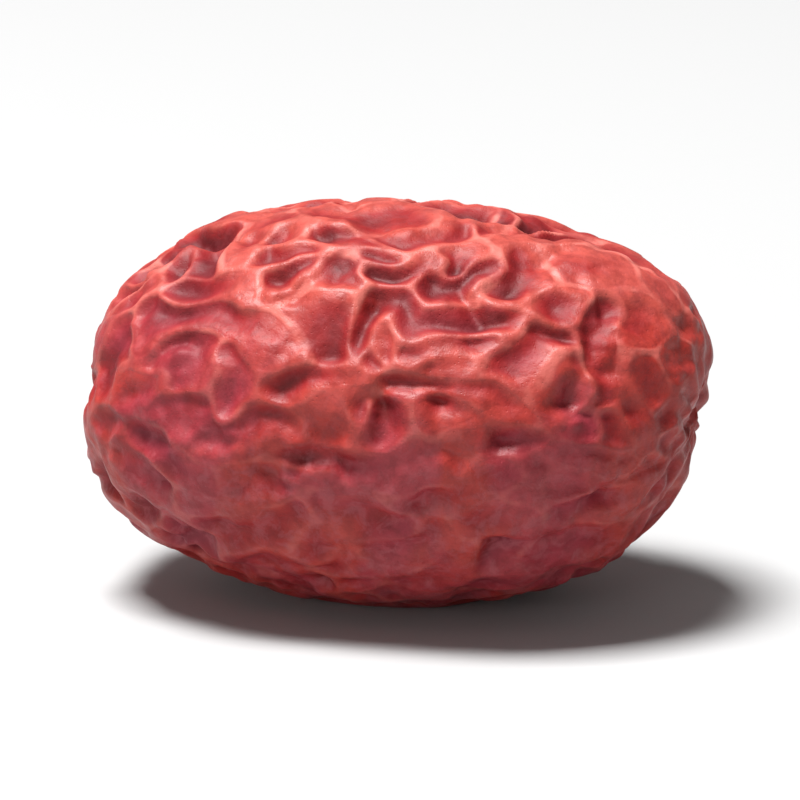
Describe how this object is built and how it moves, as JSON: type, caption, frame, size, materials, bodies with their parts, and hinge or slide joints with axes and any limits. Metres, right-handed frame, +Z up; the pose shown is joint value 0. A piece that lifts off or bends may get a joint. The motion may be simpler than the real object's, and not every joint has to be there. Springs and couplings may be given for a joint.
{
  "type": "jujube",
  "caption": "Dried jujube fruit lying on its side: wrinkled dark red skin, a stem hollow with a round scar and a small blossom dimple.",
  "frame": {"origin": "on the resting plane, under the middle of the fruit's bounding box", "axes": "+X along the fruit from the stem end to the blossom end, +Y to the back, +Z up"},
  "size_m": [0.048, 0.033, 0.0315],
  "materials": {
    "skin": "waxy satin, deeply wrinkled, dark red"
  },
  "bodies": {
    "root": {"jujube": "skin"}
  },
  "joints": []
}
